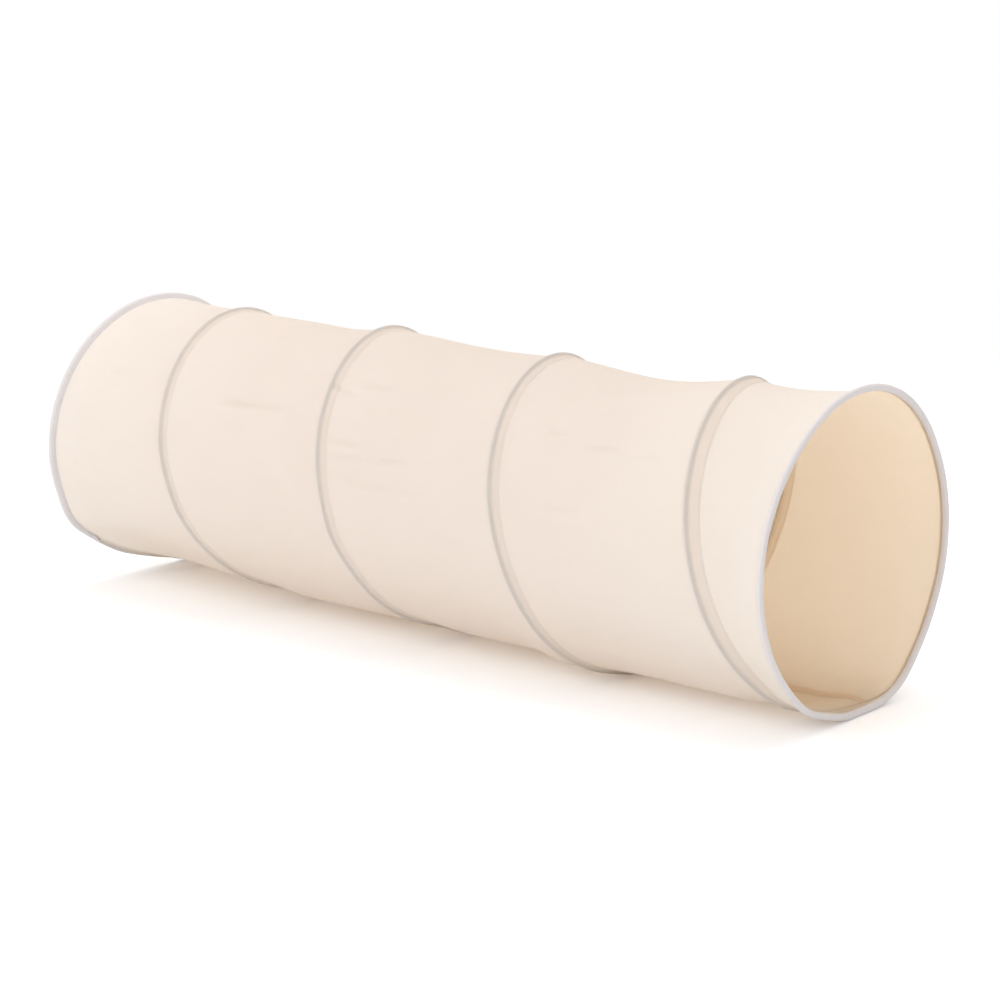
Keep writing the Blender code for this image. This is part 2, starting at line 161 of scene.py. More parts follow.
# Creases that the photograph shows: the pixels where each begins and ends, its depth and its half width
CREASES = [
    ((212, 399), (302, 410), 0.0034, 0.0060),
    ((268, 333), (332, 341), 0.0016, 0.0060),
    ((328, 384), (364, 399), 0.0026, 0.0045),
    ((360, 383), (398, 386), 0.0022, 0.0045),
    ((328, 438), (364, 446), 0.0026, 0.0050),
    ((328, 455), (372, 459), 0.0018, 0.0035),
    ((372, 459), (404, 462), 0.0022, 0.0045),
    ((328, 477), (442, 502), 0.0018, 0.0050),
    ((548, 427), (568, 429), 0.0018, 0.0040),
    ((580, 442), (624, 444), 0.0020, 0.0050),
    ((540, 509), (592, 512), 0.0018, 0.0060),
    ((106, 371), (126, 373), 0.0020, 0.0050),
    ((620, 455), (668, 448), 0.0014, 0.0050),
]
CREASE_STRENGTH = 1.5  # times the depths above
CREASE_EDGES = (0.01, 0.006)  # from the seams to where creases are full
# How a crease sets in and runs out: over this share of its length, and how far that is begun at its end
CREASE_START_SHARES = (0.3, 0.2)
CREASE_END_SHARES = (0.5, 0.1)

# The casing's section: how far from the wire, and its share of the rise from the cloth to the top of the rib
CASING_CHANNEL = [
    (-0.0043, 0.0), (-0.0038, 0.04), (-0.0032, 0.19), (-0.0026, 0.46), (-0.0019, 0.75), (-0.0011, 0.94),
    (-0.0002, 1.0), (0.0007, 0.965), (0.0015, 0.86), (0.0023, 0.67), (0.0031, 0.45), (0.0039, 0.25),
    (0.0048, 0.10), (0.0058, 0.02), (0.0068, 0.0),
]
TAPE_THICKNESS = 0.0005
CASING_TUCK = 1.5  # degrees from the hoops to the casing's ends, under the bindings
CASING_LIFT = 0.00012  # between the casing and the cloth
# The flange beside the channel: its columns, their thickness, and its reach by turns
FLANGE_SPOT_SHARES = [0.16, 0.32, 0.48, 0.62, 0.74, 0.80, 0.84, 0.88, 0.92, 0.96, 1.0]
FLANGE_THICKNESS_SHARES = [1.0, 1.0, 1.0, 1.0, 1.0, 0.95, 0.85, 0.75, 0.65, 0.55, 0.45]
FLANGE_TURNS = [0.0, 1.0, 2.0, 3.0]
FLANGE_REACHES = [0.0135, 0.0165, 0.0170, 0.0215]
# The casing's two seams and its gathers
CHANNEL_SEAM = 0.0062
SEAM_FROM_EDGE = 0.0022
SEAM_HALF_WIDTH = 0.0009
SEAM_DIP = 0.00010
CASING_GATHER = 0.00030
CASING_GATHER_SWELL = (0.009, 0.02, 31)
CHANNEL_GATHER_SHARE = 0.18
FLANGE_GATHER_SHARE = 0.24  # added to the channel's

# The tape over the lengthwise seam, inside the tunnel: half as thick as the casing
SEAM_TAPE_WIDTH = 0.014
SEAM_TAPE_STITCH = 0.0052  # from its middle
SEAM_TAPE_ROWS, SEAM_TAPE_COLUMNS = 90, 9
SEAM_PLAY = 0.0008  # from the cloth's middle to the tape's

# The binding's folded section, from the bend of its outer leg round the rim to its inner edge: metres from
# the rim's face, and shares of the way from its least radius to its greatest
BINDING_FOLD = [
    (0.0088, 0.62), (0.0080, 0.79), (0.0070, 0.91), (0.0058, 0.98), (0.0045, 1.0),
    (0.0032, 0.97), (0.0021, 0.90), (0.0012, 0.79), (0.0007, 0.65), (0.0005, 0.50),
    (0.0006, 0.35), (0.0010, 0.21), (0.0018, 0.10), (0.0030, 0.03), (0.0043, 0.0),
    (0.0053, 0.0), (0.0061, 0.0), (0.0067, 0.0), (0.0071, 0.0),
]
BINDING_OUTER_LEG = [0.0118, 0.0115, 0.0109, 0.0103, 0.0097]  # metres from the rim's face
BINDING_BEND = (0.0075, 3)  # past this place, so many columns lie no lower than the outer leg
BINDING_THICKNESS = 0.0008
BINDING_HOLD = 0.0105  # from the rim's face to where the binding grips what goes under it
BINDING_PLAY = 0.0001  # between the outer leg and the cloth
BINDING_BASE = RIM_RADIUS - 0.0098
BINDING_TOP = RIM_RADIUS - BINDING_THICKNESS / 2
BINDING_TIP = CLOTH_RADIUS + FLARE + CLOTH_THICKNESS / 2 + BINDING_PLAY + BINDING_THICKNESS / 2
BINDING_STEPS = 600
BINDING_SEAM = BINDING_HOLD
INNER_SEAM = 0.0062
# How the outer leg lifts over a casing's flange, and over its channel beside the wire. Four angles past the
# coil's end say where each lift begins, is full, starts to end and is over; 1 is the far rim, -1 the near one
CASING_LAYER = 0.0008  # what a casing's flange adds under the leg
FLANGE_LIFT = {1: (-4.0, 0.0, 9.0, 13.0), -1: (-4.0, 0.0, 27.0, 32.0)}
CHANNEL_LIFT = (-4.0, 0.0, 14.0, 16.0)
CHANNEL_CLEARANCE = 0.0010
CHANNEL_LIFT_SHORT = 0.0003  # what the lifted leg stays below the top of the binding
# The binding's unevenness: height, length round the rim, slant, place in its table of swells, and seed
BINDING_PULLS = (0.00022, 0.010, 1.2, 7, 41)
BINDING_WAVES = (0.00028, 0.045, 0.0, 3, 47)
BINDING_SETTLE = 0.00035  # how far it all lies below the smooth shape
COLUMNS_PER_SWELL = 8
HELD_PLAY = 0.0008  # what may reach past a binding's grip
HELD_SHARE = 0.03  # of the rest

# Stitches: the pitch and length of each, and its three rings along it, up from the cloth and in girth
STITCH_PITCH = 0.0036
STITCH_LENGTH = 0.0029
THREAD_RADIUS = 0.00026
THREAD_SIDES = 5
STITCH_SPOT_SHARES = [-0.5, 0.0, 0.5]
STITCH_RISE_SHARES = [-0.7, 0.35, -0.7]
STITCH_GIRTH_SHARES = [0.55, 1.0, 0.55]
LOOK_AHEAD = 1e-4  # how far along a seam its direction is taken
SLOPE_STEP = 0.0005  # to each side of a seam, to find the slope of the cloth there
BINDING_SLOPE_STEP = 0.0004
# How high the thread lies over a casing, a seam tape and a binding, and over the cloth inside a casing
CASING_THREAD_LIFT = 0.00005
TAPE_THREAD_LIFT = 0.00008
BINDING_THREAD_LIFT = 0.00006
INNER_THREAD_LIFT = 0.00002
SEWN_DEPTH = 0.0002  # between a casing and the cloth at its seams

# The crimped sleeves on the hoops' closings
STRAIGHT_END = 0.030  # of the wire, beside each hoop
SLEEVE_LENGTH = 0.024
SLEEVE_START = 0.003  # of the way along the wire's straight end
SLEEVE_RADII = (0.0024, 0.0018)
SLEEVE_PINCHES = (0.00040, 0.00022)
PINCH_PLACE_SHARES = (0.2, 0.5, 0.8)
PINCH_WIDTH_SHARE = 0.075
SLEEVE_ROWS, SLEEVE_ARC_POINTS = 49, 13

# Where the tunnel's middle starts and ends, at the grips of the two bindings; the seam tapes end there
SOFT_START = FAR_FACE + BINDING_HOLD
SOFT_END = NEAR_FACE - BINDING_HOLD

# The floor and light. The floor that is seen glows a little, and fades to white between two distances
FLOOR_HALF_WIDTH = 30.0
FLOOR_DROP = 0.0002
FLOOR_COLOUR = (0.93, 0.955, 0.975)
FLOOR_GLOW = (0.17, 0.14, 0.125)
FLOOR_FADE = (1.3, 3.0)
WORLD_COLOUR = (0.99, 0.995, 1.0)
WORLD_STRENGTH = 0.78
# Each lamp's name, place, what it points at, its size and its power
LAMPS = [
    ("key_light", (-1.2, -3.8, 2.7), (0, 0, 0.2), 2.8, 64.0),
    ("side_light", (2.4, -3.0, 1.2), (0.3, 0, 0.2), 2.5, 14.0),
    ("top_light", (-0.2, 0.6, 4.2), (0, 0, 0.2), 3.0, 44.0),
    ("back_light", (0.3, 3.2, 3.0), (0, 0, 0.2), 3.0, 28.0),
]


def ease(share):
    share = np.clip(share, 0.0, 1.0)
    return share * share * (3 - 2 * share)


def between(spot, spots, values):
    """The value at each spot, eased between the listed ones."""
    spots = np.asarray(spots, float)
    values = np.asarray(values, float)
    low = np.clip(np.searchsorted(spots, spot) - 1, 0, len(spots) - 2)
    share = ease((spot - spots[low]) / (spots[low + 1] - spots[low]))
    return values[low] + (values[low + 1] - values[low]) * share


def swept(past, angles):
    """1 between the two middle angles, eased to 0 at the outer ones."""
    rising = ease((past - angles[0]) / (angles[1] - angles[0]))
    return rising * ease((angles[3] - past) / (angles[3] - angles[2]))


def unit(vectors):
    return vectors / np.maximum(np.linalg.norm(vectors, axis=-1, keepdims=True), 1e-12)


def lattice(u, v, seed):
    """Smooth seeded unevenness between -1 and 1, about one swell for each unit of u and of v."""
    size = 128
    table = np.random.default_rng(seed).uniform(-1, 1, (size, size))
    i, j = np.floor(u).astype(int), np.floor(v).astype(int)
    s, t = ease(u - i), ease(v - j)
    corner = [[table[(i + a) % size, (j + b) % size] for b in (0, 1)] for a in (0, 1)]
    low = corner[0][0] + (corner[0][1] - corner[0][0]) * t
    high = corner[1][0] + (corner[1][1] - corner[1][0]) * t
    return low + (high - low) * s


def swells(arc, x, swell):
    size_round, size_along, seed = swell
    return lattice(arc / size_round, x / size_along, seed)


def hoop_share(shares, phi):
    """A hoop's outline at phi, on one smooth closed curve through its shares."""
    shares = np.asarray(shares)
    place_on = (phi % 360) / WIRE_ANGLE
    step = np.floor(place_on).astype(int)
    rest = place_on - step
    a, b, c, d = (shares[(step + offset) % len(shares)] for offset in (-1, 0, 1, 2))
    square = 2 * a - 5 * b + 4 * c - d
    cube = 3 * b - a - 3 * c + d
    return (2 * b + (c - a) * rest + square * rest ** 2 + cube * rest ** 3) / 2


def outline_share(x, phi):
    """The tube's outline at x and phi, as a share of a round one."""
    far = 1 - ease((x - FAR_FACE - RIM_WIDTH) / FAR_REACH)
    near = 1 - ease((NEAR_FACE - RIM_WIDTH - x) / NEAR_REACH)
    hoops = far * (hoop_share(FAR_HOOP_SHARES, phi) - 1) + near * (hoop_share(NEAR_HOOP_SHARES, phi) - 1)
    press = between((x - FAR_FACE) / TUNNEL_LENGTH, PRESS_PLACE_SHARES, PRESS_SHARES)
    return 1 + hoops - press * hoop_share(PRESS_HOOP_SHARES, phi)


def from_rim(x):
    """How far x lies from the nearer rim's face."""
    return np.minimum(x - FAR_FACE, NEAR_FACE - x)


def flare(x):
    """How far the layers spread towards the rims."""
    return FLARE * (1 - ease((from_rim(x) - BINDING_HOLD) / FLARE_REACH))


def place(x, phi, radius, relief=0.0):
    """Points of a layer of the given radius, pressed flat where it meets the floor."""
    x, phi, radius, relief = np.broadcast_arrays(x, phi, radius, relief)
    angle = np.radians(phi)
    stretched = (radius + relief) * outline_share(x, phi)
    sag = RIM_RADIUS * between((x - FAR_FACE) / TUNNEL_LENGTH, SAG_PLACE_SHARES, SAG_SHARES)
    height = AXIS_HEIGHT - stretched * np.sin(angle) - sag * np.maximum(0.0, -np.sin(angle)) ** 2
    rim_nearness = 1 - ease((from_rim(x) - RIM_WIDTH) / RIM_PROUD_REACH)
    floor = RIB_RADIUS - radius + RIM_PROUD * rim_nearness + np.maximum(0.0, -relief) / 2
    above = height - floor
    lifted = floor + (above + np.sqrt(above ** 2 + (2 * FLOOR_SOFTNESS) ** 2)) / 2
    return np.stack([x, -stretched * np.cos(angle), lifted], axis=-1)


def coil_x(phi):
    """Where the wire's coil is along the tunnel."""
    even = FAR_FACE + WIRE_INSET + PITCH * (phi - COIL_START) / 360
    return even + PITCH * between(phi / 360, STRAY_TURNS, STRAY_SHARES)


def strip_edges(phi):
    """Where the strip of cloth at phi begins and ends along the tunnel: at the wire, or in a binding."""
    low = np.full_like(phi, FAR_FACE + CLOTH_INSET)
    high = np.full_like(phi, NEAR_FACE - CLOTH_INSET)
    low = np.where(phi >= COIL_START, np.maximum(low, coil_x(phi) + GAP / 2), low)
    high = np.where(phi + 360 <= COIL_END, np.minimum(high, coil_x(phi + 360) - GAP / 2), high)
    return low, high


def view_axes():
    """The camera's right, up and forward directions."""
    c, s = math.cos(CAMERA_PITCH), math.sin(CAMERA_PITCH)
    forward = Vector((c * math.sin(CAMERA_YAW), c * math.cos(CAMERA_YAW), -s))
    right = forward.cross(Vector((0, 0, 1))).normalized()
    up = right.cross(forward)
    c, s = math.cos(CAMERA_ROLL), math.sin(CAMERA_ROLL)
    return c * right + s * up, c * up - s * right, forward


def on_cloth(pixel):
    """Where a pixel of the photograph meets the cloth: how far along the tunnel, and phi."""
    right, up, forward = view_axes()
    across = (pixel[0] - PICTURE_SIZE / 2) / FOCAL_PIXELS
    down = (pixel[1] - PICTURE_SIZE / 2) / FOCAL_PIXELS
    ray = forward + across * right - down * up
    start = Vector(CAMERA_PLACE) - Vector((0, 0, AXIS_HEIGHT))
    a = ray.y ** 2 + ray.z ** 2
    b = start.y * ray.y + start.z * ray.z
    c = start.y ** 2 + start.z ** 2 - CLOTH_RADIUS ** 2
    spot = start + ray * ((-b - math.sqrt(max(b * b - a * c, 0.0))) / a)
    return spot.x, math.degrees(math.atan2(-spot.z, -spot.y))


def crease_relief(x, phi):
    relief = np.zeros(np.broadcast(x, phi).shape)
    for start, end, depth, width in CREASES:
        (x0, p0), (x1, p1) = on_cloth(start), on_cloth(end)
        arc = CLOTH_RADIUS * np.radians((phi - p0 + 180) % 360 - 180)
        run = np.array([x1 - x0, CLOTH_RADIUS * math.radians((p1 - p0 + 180) % 360 - 180)])
        length = float(np.hypot(*run))
        along = ((x - x0) * run[0] + arc * run[1]) / length ** 2
        off = ((x - x0) * run[1] - arc * run[0]) / length
        rising = ease(along / CREASE_START_SHARES[0] + CREASE_START_SHARES[1])
        ends = rising * ease((1 - along) / CREASE_END_SHARES[0] + CREASE_END_SHARES[1])
        relief -= CREASE_STRENGTH * depth * ends * np.exp(-(off / width) ** 2)
    return relief


def on_floor(phi):
    """1 under the tunnel, eased to 0 at its sides."""
    return ease(2 * np.sin(np.radians(phi)) - 1)


def strip_relief(x, phi):
    """How far the cloth of the strip at phi stands out: gathers at its seams, folds, ripples and creases."""
    low, high = strip_edges(phi)
    from_low, from_high = np.maximum(x - low, 0.0), np.maximum(high - x, 0.0)
    arc = CLOTH_RADIUS * np.radians(phi)
    middle = ease(from_low / MIDDLE_EDGES[0]) * ease(from_high / MIDDLE_EDGES[1])
    at_low = ease(from_low / GATHER_RISES[0])
    at_low = at_low * np.exp(-np.maximum(0.0, from_low - GATHER_HOLD) / GATHER_FADES[0])
    at_high = ease(from_high / GATHER_RISES[1]) * np.exp(-from_high / GATHER_FADES[1])
    gathers = swells(arc, x, GATHER_SWELL) + FINE_GATHER_SHARE * swells(arc, x, FINE_GATHER_SWELL)
    relief = (GATHER_HEIGHTS[0] * at_low + GATHER_HEIGHTS[1] * at_high) * gathers
    drawn = swells(arc + FOLD_SLANT * (x - low), x, FOLD_SWELL)
    relief = relief - FOLD_DEPTH * middle * np.maximum(0.0, np.abs(drawn) - FOLD_THRESHOLD) ** FOLD_POWER
    crossed = arc - RIPPLE_SLANT * (x - low)
    relief = relief + RIPPLE_HEIGHT * middle * swells(crossed, x, RIPPLE_SWELL)
    relief = relief + BILLOW_HEIGHT * middle * swells(arc, x, BILLOW_SWELL)
    by_seams = ease(from_low / CREASE_EDGES[0]) * ease(from_high / CREASE_EDGES[1])
    relief = relief + by_seams * crease_relief(x, phi)
    by_rims = ease((from_rim(x) - BINDING_HOLD) / RIM_FLATTENING_REACH)
    return relief * (1 - FLOOR_FLATTENING * on_floor(phi)) * by_rims


def cloth_layer(x, phi):
    """Radius and relief of the cloth's middle layer at x on the strip at phi."""
    low, high = strip_edges(phi)
    width = high - low
    across = np.clip((x - low) / np.maximum(width, 1e-6), 0, 1)
    fullness = ease((width - SHALLOW_WIDTH) / (PITCH / 2))
    bend = math.log(0.5) / np.log(between(phi / 360, WAIST_TURNS, WAIST_PEAKS))
    waist = np.sin(np.pi * across ** bend) ** WAIST_POWER * fullness
    rest = ease(across / REST_EDGE_SHARES[0]) * ease((1 - across) / REST_EDGE_SHARES[1]) * fullness
    drawn = RIM_RADIUS * between(phi / 360, WAIST_TURNS, WAIST_SHARES)
    upward = np.maximum(0.0, -np.sin(np.radians(phi)))
    drawn = drawn * (SIDE_WAIST_SHARE + (1 - SIDE_WAIST_SHARE) * upward)
    sagging = RIB_RADIUS - CLOTH_THICKNESS / 2 - CLOTH_RADIUS
    by_last = np.where(phi >= COIL_START, x - low, 1.0)
    by_next = np.where(phi + 360 <= COIL_END, high - x, 1.0)
    by_wire = np.maximum(np.minimum(by_last, by_next), 0.0)
    tent = TENT * np.exp(-(by_wire / TENT_REACH) ** TENT_POWER)
    resting = on_floor(phi)
    lying = resting * np.maximum(tent, rest * sagging)
    return CLOTH_RADIUS + (1 - resting) * (tent - waist * drawn) + lying, strip_relief(x, phi)


def row_angles(start, end):
    held = math.degrees(GAP / 2 / CLOTH_RADIUS)
    steps = round((end - start) / 360 * CLOTH_ROWS_PER_TURN)
    return np.linspace(start + held, end - held, steps + 1)


def arc_lengths(points, axis):
    """Distance along a grid of points, from its first row or column, averaged across it."""
    steps = np.linalg.norm(np.diff(points, axis=axis), axis=-1).mean(axis=1 - axis)
    return np.concatenate([[0.0], np.cumsum(steps)])


def grid_normals(points, closed=False):
    if closed:
        along = np.roll(points, -1, axis=0) - np.roll(points, 1, axis=0)
    else:
        along = np.gradient(points, axis=0)
    return unit(np.cross(along, np.gradient(points, axis=1)))


def link(thing):
    bpy.context.scene.collection.objects.link(thing)
    return thing


def mesh_piece(name, points, faces, *materials):
    """A piece in the scene with these points and faces."""
    mesh = bpy.data.meshes.new(name)
    mesh.from_pydata(np.reshape(points, (-1, 3)).tolist(), [], faces)
    for material in materials:
        mesh.materials.append(material)
    return link(bpy.data.objects.new(name, mesh))


def face_out(mesh):
    """Turn a closed mesh's faces to point out."""
    bm = bmesh.new()
    bm.from_mesh(mesh)
    bmesh.ops.recalc_face_normals(bm, faces=bm.faces)
    bm.to_mesh(mesh)
    bm.free()


def cells(grid):
    """The four corners of each cell of a grid, in order round it."""
    corners = np.stack([grid[:-1, :-1], grid[1:, :-1], grid[1:, 1:], grid[:-1, 1:]], axis=2)
    return corners.reshape(-1, *corners.shape[2:])


def ring_cells(rows):
    """The cells of a grid whose last column meets its first."""
    return cells(np.hstack([rows, rows[:, :1]]))


def shell(name, points, thickness, skins, closed=False):
    """A closed sheet, half its thickness to each side of a grid of points, with a flat map of the cloth."""
    tall, wide = points.shape[:2]
    normals = grid_normals(points, closed)
    half = np.broadcast_to(np.asarray(thickness) / 2, (tall, wide))[..., None]
    outer = points + normals * half
    inner = points - normals * half
    spots = np.arange(tall * wide).reshape(tall, wide)
    if closed:
        spots = np.vstack([spots, spots[:1]])
    under = spots + tall * wide
    front = cells(spots)
    row_place = arc_lengths(np.concatenate([points, points[:1]]) if closed else points, 0) / UV_SPAN
    column_place = arc_lengths(points, 1) / UV_SPAN

    def laid_flat(columns, rows):
        v, u = np.meshgrid(rows, columns, indexing="ij")
        return cells(np.stack([u, v], axis=-1))

    corners = laid_flat(column_place, row_place)
    shift = column_place[-1] + UV_MARGIN
    faces = [front, front[:, ::-1] + tall * wide]
    maps = [corners, corners[:, ::-1] + [shift, 0.0]]
    depth = float(np.max(thickness)) / UV_SPAN
    edges = [(spots[:, 0][::-1], under[:, 0][::-1], row_place[::-1]), (spots[:, -1], under[:, -1], row_place)]
    if not closed:
        edges.append((spots[0], under[0], column_place))
        edges.append((spots[-1][::-1], under[-1][::-1], column_place[::-1]))
    for number, (top, low, along) in enumerate(edges):
        faces.append(cells(np.stack([top, low], axis=1)))
        side = 2 * shift + number * (depth + UV_MARGIN)
        maps.append(laid_flat([side, side + depth], along))
    faces = np.concatenate(faces)
    piece = mesh_piece(name, [outer, inner], faces.tolist(), *skins)
    mesh = piece.data
    layer = mesh.uv_layers.new(name="OFBake")
    layer.data.foreach_set("uv", np.concatenate(maps).reshape(-1).astype(np.float32))
    smooth = np.zeros(len(faces), bool)
    smooth[:2 * len(front)] = True
    mesh.polygons.foreach_set("use_smooth", smooth)
    skin = np.zeros(len(faces), np.int32)
    skin[len(front):2 * len(front)] = len(skins) - 1
    mesh.polygons.foreach_set("material_index", skin)
    mesh.update()
    return piece


def rings(side, up, sides):
    """Unit circles in the plane of each side and up direction."""
    turns = np.arange(sides) * 2 * np.pi / sides
    return np.cos(turns)[None, :, None] * side[:, None] + np.sin(turns)[None, :, None] * up[:, None]


def tube(name, points, radius, sides, material):
    """A round wire through points, with closed ends."""
    ahead = unit(np.gradient(points, axis=0))
    side = unit(np.cross(ahead, [1.0, 0.0, 0.0]))
    vertices = points[:, None] + radius * rings(side, np.cross(side, ahead), sides)
    spots = np.arange(len(points) * sides).reshape(-1, sides)
    faces = ring_cells(spots).tolist() + [spots[0].tolist(), spots[-1][::-1].tolist()]
    piece = mesh_piece(name, vertices, faces, material)
    piece.data.shade_smooth()
    face_out(piece.data)
    return piece


def stitch_rows(name, rows, material):
    """Rows of straight stitches: each row is its points and the directions that lead out of the cloth."""
    along = np.array(STITCH_SPOT_SHARES) * STITCH_LENGTH
    rise = np.array(STITCH_RISE_SHARES) * THREAD_RADIUS
    girth = np.array(STITCH_GIRTH_SHARES) * THREAD_RADIUS
    vertices, faces = [], []
    count = 0
    for points, outward in rows:
        run = arc_lengths(points[:, None], 0)

        def read(values, places):
            return np.stack([np.interp(places, run, values[:, axis]) for axis in range(3)], axis=-1)

        spots = np.arange(STITCH_PITCH / 2, run[-1] - STITCH_PITCH / 2, STITCH_PITCH)
        centre = read(points, spots)
        up = unit(read(outward, spots))
        ahead = unit(read(points, spots + LOOK_AHEAD) - centre)
        ring = rings(unit(np.cross(up, ahead)), up, THREAD_SIDES)
        body = centre[:, None, None] + along[None, :, None, None] * ahead[:, None, None]
        body = body + rise[None, :, None, None] * up[:, None, None]
        body = body + girth[None, :, None, None] * ring[:, None]
        vertices.append(body.reshape(-1, 3))
        per_stitch = len(along) * THREAD_SIDES
        base = count + np.arange(len(spots))[:, None, None] * per_stitch
        index = base + np.arange(per_stitch).reshape(1, -1, THREAD_SIDES)
        beside = np.roll(index, -1, axis=2)
        quads = np.stack([index[:, :-1], beside[:, :-1], beside[:, 1:], index[:, 1:]], axis=-1)
        faces += quads.reshape(-1, 4).tolist()
        faces += index[:, 0, ::-1].tolist() + index[:, -1].tolist()
        count += len(spots) * per_stitch
    piece = mesh_piece(name, np.concatenate(vertices), faces, material)
    piece.data.shade_smooth()
    return piece


class Nodes:
    """Adds nodes to a material or world and links them by name."""

    def __init__(self, owner):
        owner.use_nodes = True
        self.tree = owner.node_tree
        self.tree.nodes.clear()

    def add(self, kind, inputs=None, **settings):
        node = self.tree.nodes.new("ShaderNode" + kind)
        for key, value in settings.items():
            setattr(node, key, value)
        for key, value in (inputs or {}).items():
            if isinstance(value, bpy.types.NodeSocket):
                self.tree.links.new(value, node.inputs[key])
            else:
                node.inputs[key].default_value = value
        return node

    def math(self, operation, *values):
        return self.add("Math", dict(enumerate(values)), operation=operation).outputs[0]

    def noise(self, vector, scale, detail=2.0, rough=0.5):
        settings = {"Vector": vector, "Scale": scale, "Detail": detail, "Roughness": rough}
        return self.add("TexNoise", settings).outputs["Fac"]

    def stretched_noise(self, vector, scales, detail=2.0, rough=0.5):
        mapped = self.add("Mapping", {"Vector": vector, "Scale": scales}).outputs[0]
        return self.noise(mapped, 1.0, detail, rough)

    def tones(self, share, dark, light, start=0.0, end=1.0):
        """A colour from dark to light, as the share goes from start to end."""
        ramp = self.add("ValToRGB", {"Fac": share})
        for element, spot, colour in zip(ramp.color_ramp.elements, (start, end), (dark, light)):
            element.position = spot
            element.color = (*colour, 1.0)
        return ramp.outputs[0]

    def bump(self, height, distance, strength, **below):
        """Relief of this height, on the relief below if that is given as its Normal."""
        settings = {"Height": height, "Distance": distance, "Strength": strength, **below}
        return self.add("Bump", settings).outputs[0]


def woven(name, light, dark, threads, roughness, translucence, through, sheen=0.2):
    """Plain-woven cloth: threads both ways, slubs along them, uneven dye and a fine crinkle."""
    material = bpy.data.materials.new(name)
    tree = Nodes(material)
    flat = tree.add("UVMap", uv_map="OFBake").outputs["UV"]
    metres = tree.add("Mapping", {"Vector": flat, "Scale": (UV_SPAN,) * 3}).outputs[0]
    split = tree.add("SeparateXYZ", {0: metres})
    turn = 2 * math.pi * threads
    weft = tree.math("SINE", tree.math("MULTIPLY", split.outputs[0], turn))
    warp = tree.math("SINE", tree.math("MULTIPLY", split.outputs[1], turn))
    weave = tree.math("MULTIPLY", weft, warp)
    dye = tree.stretched_noise(metres, (9.0, 9.0, 9.0), 3.0)
    slub_one = tree.stretched_noise(metres, (26.0, 900.0, 1.0))
    slub_two = tree.stretched_noise(metres, (900.0, 26.0, 1.0))
    crinkle = tree.stretched_noise(metres, (160.0, 160.0, 160.0), 4.0, 0.6)
    slub = tree.math("MULTIPLY", tree.math("ADD", slub_one, slub_two), 0.5)
    tone = tree.math("ADD", tree.math("MULTIPLY", dye, 0.5), tree.math("MULTIPLY", slub, 0.5))
    colour = tree.tones(tone, dark, light, start=0.30, end=0.68)
    relief = tree.bump(weave, 0.00004, 0.5)
    relief = tree.bump(slub, 0.00012, 0.6, Normal=relief)
    relief = tree.bump(crinkle, 0.0005, 0.5, Normal=relief)
    rough = tree.add("MapRange", {
        "Value": crinkle, "From Min": 0.3, "From Max": 0.7,
        "To Min": roughness - 0.06, "To Max": roughness + 0.06})
    shader = tree.add("BsdfPrincipled", {
        "Base Color": colour, "Roughness": rough.outputs[0], "Normal": relief,
        "Specular IOR Level": 0.25, "Sheen Weight": sheen, "Sheen Roughness": 0.5})
    behind = tree.add("BsdfTranslucent", {"Color": (*through, 1.0), "Normal": relief})
    surface = tree.add("MixShader", {0: translucence, 1: shader.outputs[0], 2: behind.outputs[0]})
    tree.add("OutputMaterial", {"Surface": surface.outputs[0]})
    return material


def thread_material(name, colour):
    """Twisted sewing thread."""
    material = bpy.data.materials.new(name)
    tree = Nodes(material)
    spot = tree.add("TexCoord").outputs["Object"]
    fuzz = tree.noise(spot, 900.0)
    dark = [0.82 * part for part in colour]
    shader = tree.add("BsdfPrincipled", {
        "Base Color": tree.tones(fuzz, dark, colour), "Normal": tree.bump(fuzz, 0.0001, 0.4),
        "Roughness": 0.6, "Sheen Weight": 0.3})
    tree.add("OutputMaterial", {"Surface": shader.outputs[0]})
    return material


def steel_material(name, colour, roughness):
    """Drawn steel: fine scratches along the wire and dull spots."""
    material = bpy.data.materials.new(name)
    tree = Nodes(material)
    spot = tree.add("TexCoord").outputs["Object"]
    scratch = tree.stretched_noise(spot, (1400.0, 90.0, 90.0), 3.0)
    spots = tree.noise(spot, 60.0, 4.0)
    dark = [0.75 * part for part in colour]
    rough = tree.add("MapRange", {"Value": spots, "To Min": roughness - 0.08, "To Max": roughness + 0.12})
    shader = tree.add("BsdfPrincipled", {
        "Base Color": tree.tones(spots, dark, colour), "Roughness": rough.outputs[0],
        "Normal": tree.bump(scratch, 0.00005, 0.5), "Metallic": 1.0})
    tree.add("OutputMaterial", {"Surface": shader.outputs[0]})
    return material


cloth_out = woven("cream_cloth", (0.885, 0.900, 0.935), (0.845, 0.855, 0.885), 2200.0, 0.80,
                  translucence=0.56, through=(0.97, 0.94, 0.905))
# The inside skin is the same cream cloth, but its colour and the colour of light through it are painted
# warmer. This is painted warm light, for the light that shines through the cloth and bounces round inside the
# tunnel.
inside_cloth_painted_warm_light = woven("cream_inside_cloth_painted_warm_light", (0.970, 0.815, 0.630), (0.945, 0.770, 0.580), 2200.0, 0.80,
                 translucence=0.60, through=(0.99, 0.885, 0.745))
casing_cloth = woven("cream_casing", (0.910, 0.890, 0.880), (0.875, 0.850, 0.840), 2200.0, 0.82,
                     translucence=0.68, through=(0.99, 0.945, 0.89))
binding_cloth = woven("lilac_binding", (0.800, 0.745, 0.730), (0.735, 0.680, 0.665), 1500.0, 0.85,
                      translucence=0.12, through=(0.95, 0.90, 0.86), sheen=0.3)
cream_thread = thread_material("cream_thread", (0.91, 0.87, 0.83))
lilac_thread = thread_material("lilac_thread", (0.75, 0.69, 0.68))
wire_steel = steel_material("spring_steel", (0.46, 0.46, 0.47), 0.38)
crimp_steel = steel_material("crimp_steel", (0.66, 0.66, 0.67), 0.34)


def dress(piece, body, slot, *nodes):
    """Put a piece on its body, in place of its CAD nodes; the slot it is given is not used."""
    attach(piece, body)
    if nodes:
        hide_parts(*nodes)


